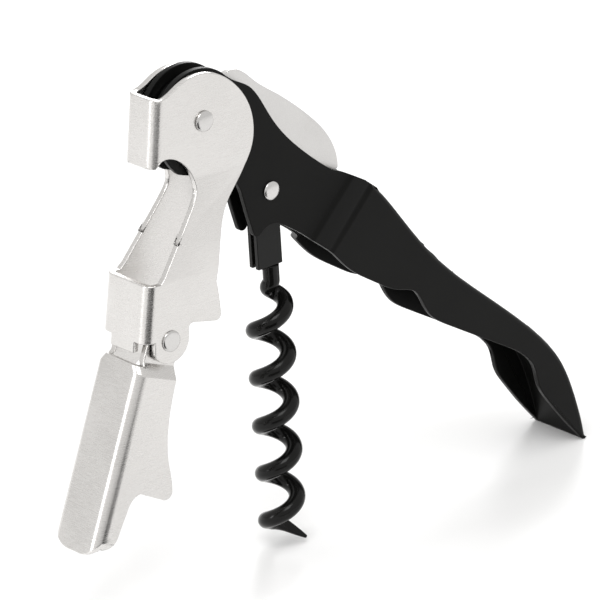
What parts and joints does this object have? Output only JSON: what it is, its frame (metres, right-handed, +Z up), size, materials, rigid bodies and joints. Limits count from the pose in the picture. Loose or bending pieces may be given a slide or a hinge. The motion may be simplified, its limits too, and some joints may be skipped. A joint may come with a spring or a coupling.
{
  "type": "lever corkscrew",
  "caption": "Folding lever corkscrew with a coated worm, a jointed lever with bottle steps and a cap lifter, and a foil blade.",
  "frame": {"origin": "middle of the footprint, on the surface that the worm's point and the handle's tip stand on", "axes": "+X from the lever towards the handle's tip, +Y across the width, +Z up"},
  "size_m": [0.1072, 0.013, 0.0891],
  "materials": {
    "black_coat": "satin",
    "brushed_steel": "fine brushed",
    "rivet_steel": "satin",
    "blade_steel": "ground",
    "worm_coat": "gloss"
  },
  "bodies": {
    "handle": {"handle_shell": "black_coat", "main_pin": "rivet_steel", "worm_pin": "rivet_steel", "blade_washers": "black_coat"},
    "lever": {"upper_lever": "brushed_steel", "knee_pin": "rivet_steel"},
    "lever_end": {"lower_lever": "brushed_steel"},
    "worm_arm": {"worm_bracket": "worm_coat", "worm": "worm_coat"},
    "blade": {"foil_blade": "blade_steel"}
  },
  "joints": [
    {"name": "lever_hinge", "type": "hinge", "parent": "handle", "child": "lever", "pos_m": [-0.02318, 0, 0.08074], "axis": [0, -1, 0], "range_deg": [-60, 12]},
    {"name": "knee_hinge", "type": "hinge", "parent": "lever", "child": "lever_end", "pos_m": [-0.03465, 0, 0.04678], "axis": [0, -1, 0], "range_deg": [-24, 18]},
    {"name": "worm_hinge", "type": "hinge", "parent": "handle", "child": "worm_arm", "pos_m": [-0.0094, 0, 0.06432], "axis": [0, -1, 0], "range_deg": [-12, 45]},
    {"name": "blade_hinge", "type": "hinge", "parent": "handle", "child": "blade", "pos_m": [-0.02318, 0, 0.08074], "axis": [0, -1, 0], "range_deg": [0, 40]}
  ]
}
